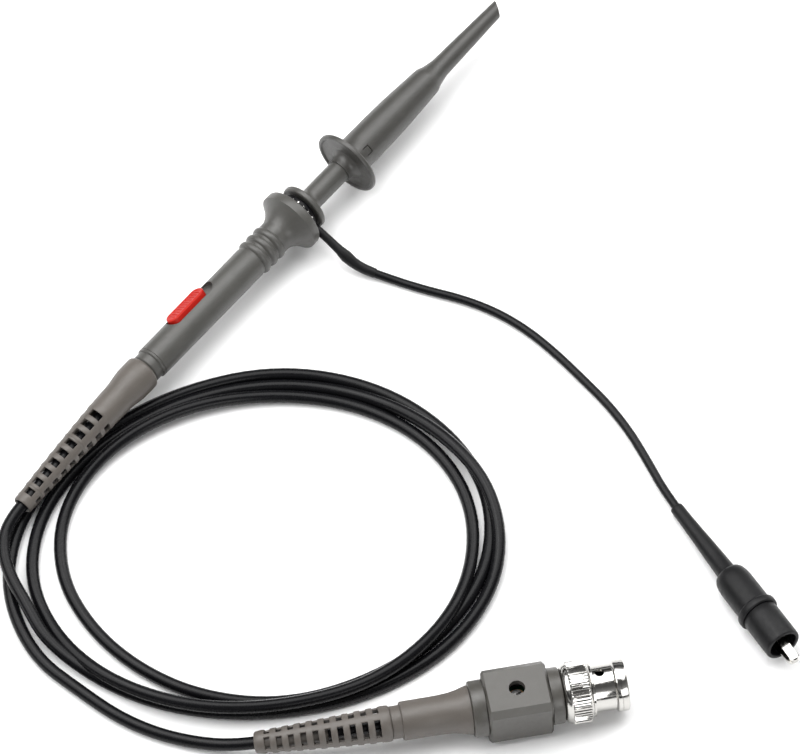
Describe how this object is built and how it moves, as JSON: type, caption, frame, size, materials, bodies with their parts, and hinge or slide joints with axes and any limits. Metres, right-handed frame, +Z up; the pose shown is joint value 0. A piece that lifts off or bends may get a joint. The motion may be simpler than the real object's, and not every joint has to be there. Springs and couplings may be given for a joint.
{
  "type": "oscilloscope probe",
  "caption": "Passive oscilloscope probe with spring hook tip, attenuation switch, coiled coaxial cable, compensation box, bayonet plug and a ground lead with clip.",
  "frame": {"origin": "under the middle of the head (boot and leads left out), on the surface that it lies on", "axes": "+X along the head to the hook tip, +Z up from the table, +Y completes the right hand"},
  "size_m": [0.2008, 0.1724, 0.0167],
  "materials": {
    "shell_plastic": "fine matt texture",
    "sleeve_plastic": "fine matt texture",
    "boot_rubber": "soft satin",
    "cable_jacket": "glossy",
    "red_plastic": "satin",
    "black_plastic": "satin",
    "black_rubber": "satin",
    "nickel": "bright nickel plate",
    "tin": "satin plate",
    "spring_steel": "drawn wire",
    "gold_brass": "thin gold plate",
    "brass": "turned",
    "white_insulator": "smooth",
    "circuit_board": "satin lacquer",
    "ceramic": "fired",
    "film_resistor": "lacquer"
  },
  "bodies": {
    "probe": {"head_shell": "shell_plastic", "head_rear_collar": "shell_plastic", "head_strain_relief": "boot_rubber", "cable_in_head": "cable_jacket", "cable_ferrule": "nickel", "shield_tube": "tin", "switch_board": "circuit_board", "divider_resistor": "film_resistor", "divider_capacitor": "ceramic", "nose_insulator": "white_insulator", "ground_barrel": "nickel", "probe_needle": "nickel", "ground_lead_wire": "cable_jacket", "clip_boot": "black_rubber", "clip_shroud": "black_rubber", "clip_crimp": "tin", "clip_lower_jaw": "nickel", "clip_pivot_pin": "nickel", "clip_spring": "spring_steel", "cable_head_lead": "cable_jacket", "cable_coil": "cable_jacket", "cable_plug_lead": "cable_jacket", "cable_in_plug": "cable_jacket", "bnc_strain_relief": "boot_rubber", "bnc_rear_sleeve": "boot_rubber", "cable_clamp": "nickel", "comp_box": "shell_plastic", "comp_shield": "tin", "comp_board": "circuit_board", "comp_resistor": "ceramic", "comp_capacitor": "ceramic", "trimmer_body": "ceramic", "bnc_body": "nickel", "bnc_outer_contact": "nickel", "bnc_insulator": "white_insulator", "bnc_centre_pin": "gold_brass", "bnc_gasket": "black_rubber", "bnc_spring_washer": "spring_steel"},
    "switch": {"switch_knob": "red_plastic", "switch_contact": "gold_brass"},
    "hook": {"hook_barrel": "shell_plastic", "hook_socket": "gold_brass", "hook_wire": "spring_steel", "hook_spring": "spring_steel"},
    "sleeve": {"hook_sleeve": "sleeve_plastic"},
    "ground_collar": {"ground_ring": "nickel", "ground_ring_tail": "black_rubber", "lead_sleeve": "black_rubber"},
    "trimmer": {"trimmer_screw": "brass"},
    "washer": {"bnc_thrust_washer": "brass"},
    "nut": {"bnc_coupling_nut": "nickel"},
    "jaw": {"clip_upper_jaw": "nickel"}
  },
  "joints": [
    {"name": "switch_slide", "type": "slide", "parent": "probe", "child": "switch", "axis": [1, 0, 0], "range_m": [0, 0.0025]},
    {"name": "hook_pull", "type": "slide", "parent": "probe", "child": "hook", "axis": [1, 0, 0], "range_m": [0, 0.02]},
    {"name": "sleeve_retract", "type": "slide", "parent": "hook", "child": "sleeve", "axis": [-1, 0, 0], "range_m": [0, 0.005], "stiffness_N_per_m": 250, "springref_m": -0.004, "deforming": ["hook_spring"]},
    {"name": "collar_swivel", "type": "hinge", "parent": "probe", "child": "ground_collar", "pos_m": [-0.00882, 0, 0.00835], "axis": [1, 0, 0], "range_deg": [-90, 0], "deforming": ["ground_lead_wire"]},
    {"name": "trimmer_turn", "type": "hinge", "parent": "probe", "child": "trimmer", "pos_m": [-0.0758, -0.1219, 0.0101], "axis": [0, 0, 1], "continuous": true},
    {"name": "washer_slide", "type": "slide", "parent": "probe", "child": "washer", "axis": [0.7749, -0.632, 0], "range_m": [0, 0.0008], "stiffness_N_per_m": 1000, "springref_m": -0.003, "deforming": ["bnc_spring_washer"]},
    {"name": "nut_turn", "type": "hinge", "parent": "washer", "child": "nut", "pos_m": [-0.06185, -0.13328, 0.0073], "axis": [0.7749, -0.632, 0], "continuous": true},
    {"name": "jaw_open", "type": "hinge", "parent": "probe", "child": "jaw", "pos_m": [-0.01974, -0.14442, 0.00476], "axis": [-0.9516, 0.3074, 0], "range_deg": [0, 7], "stiffness_Nm_per_rad": 0.1, "springref_deg": -28.65, "deforming": ["clip_spring"]}
  ]
}
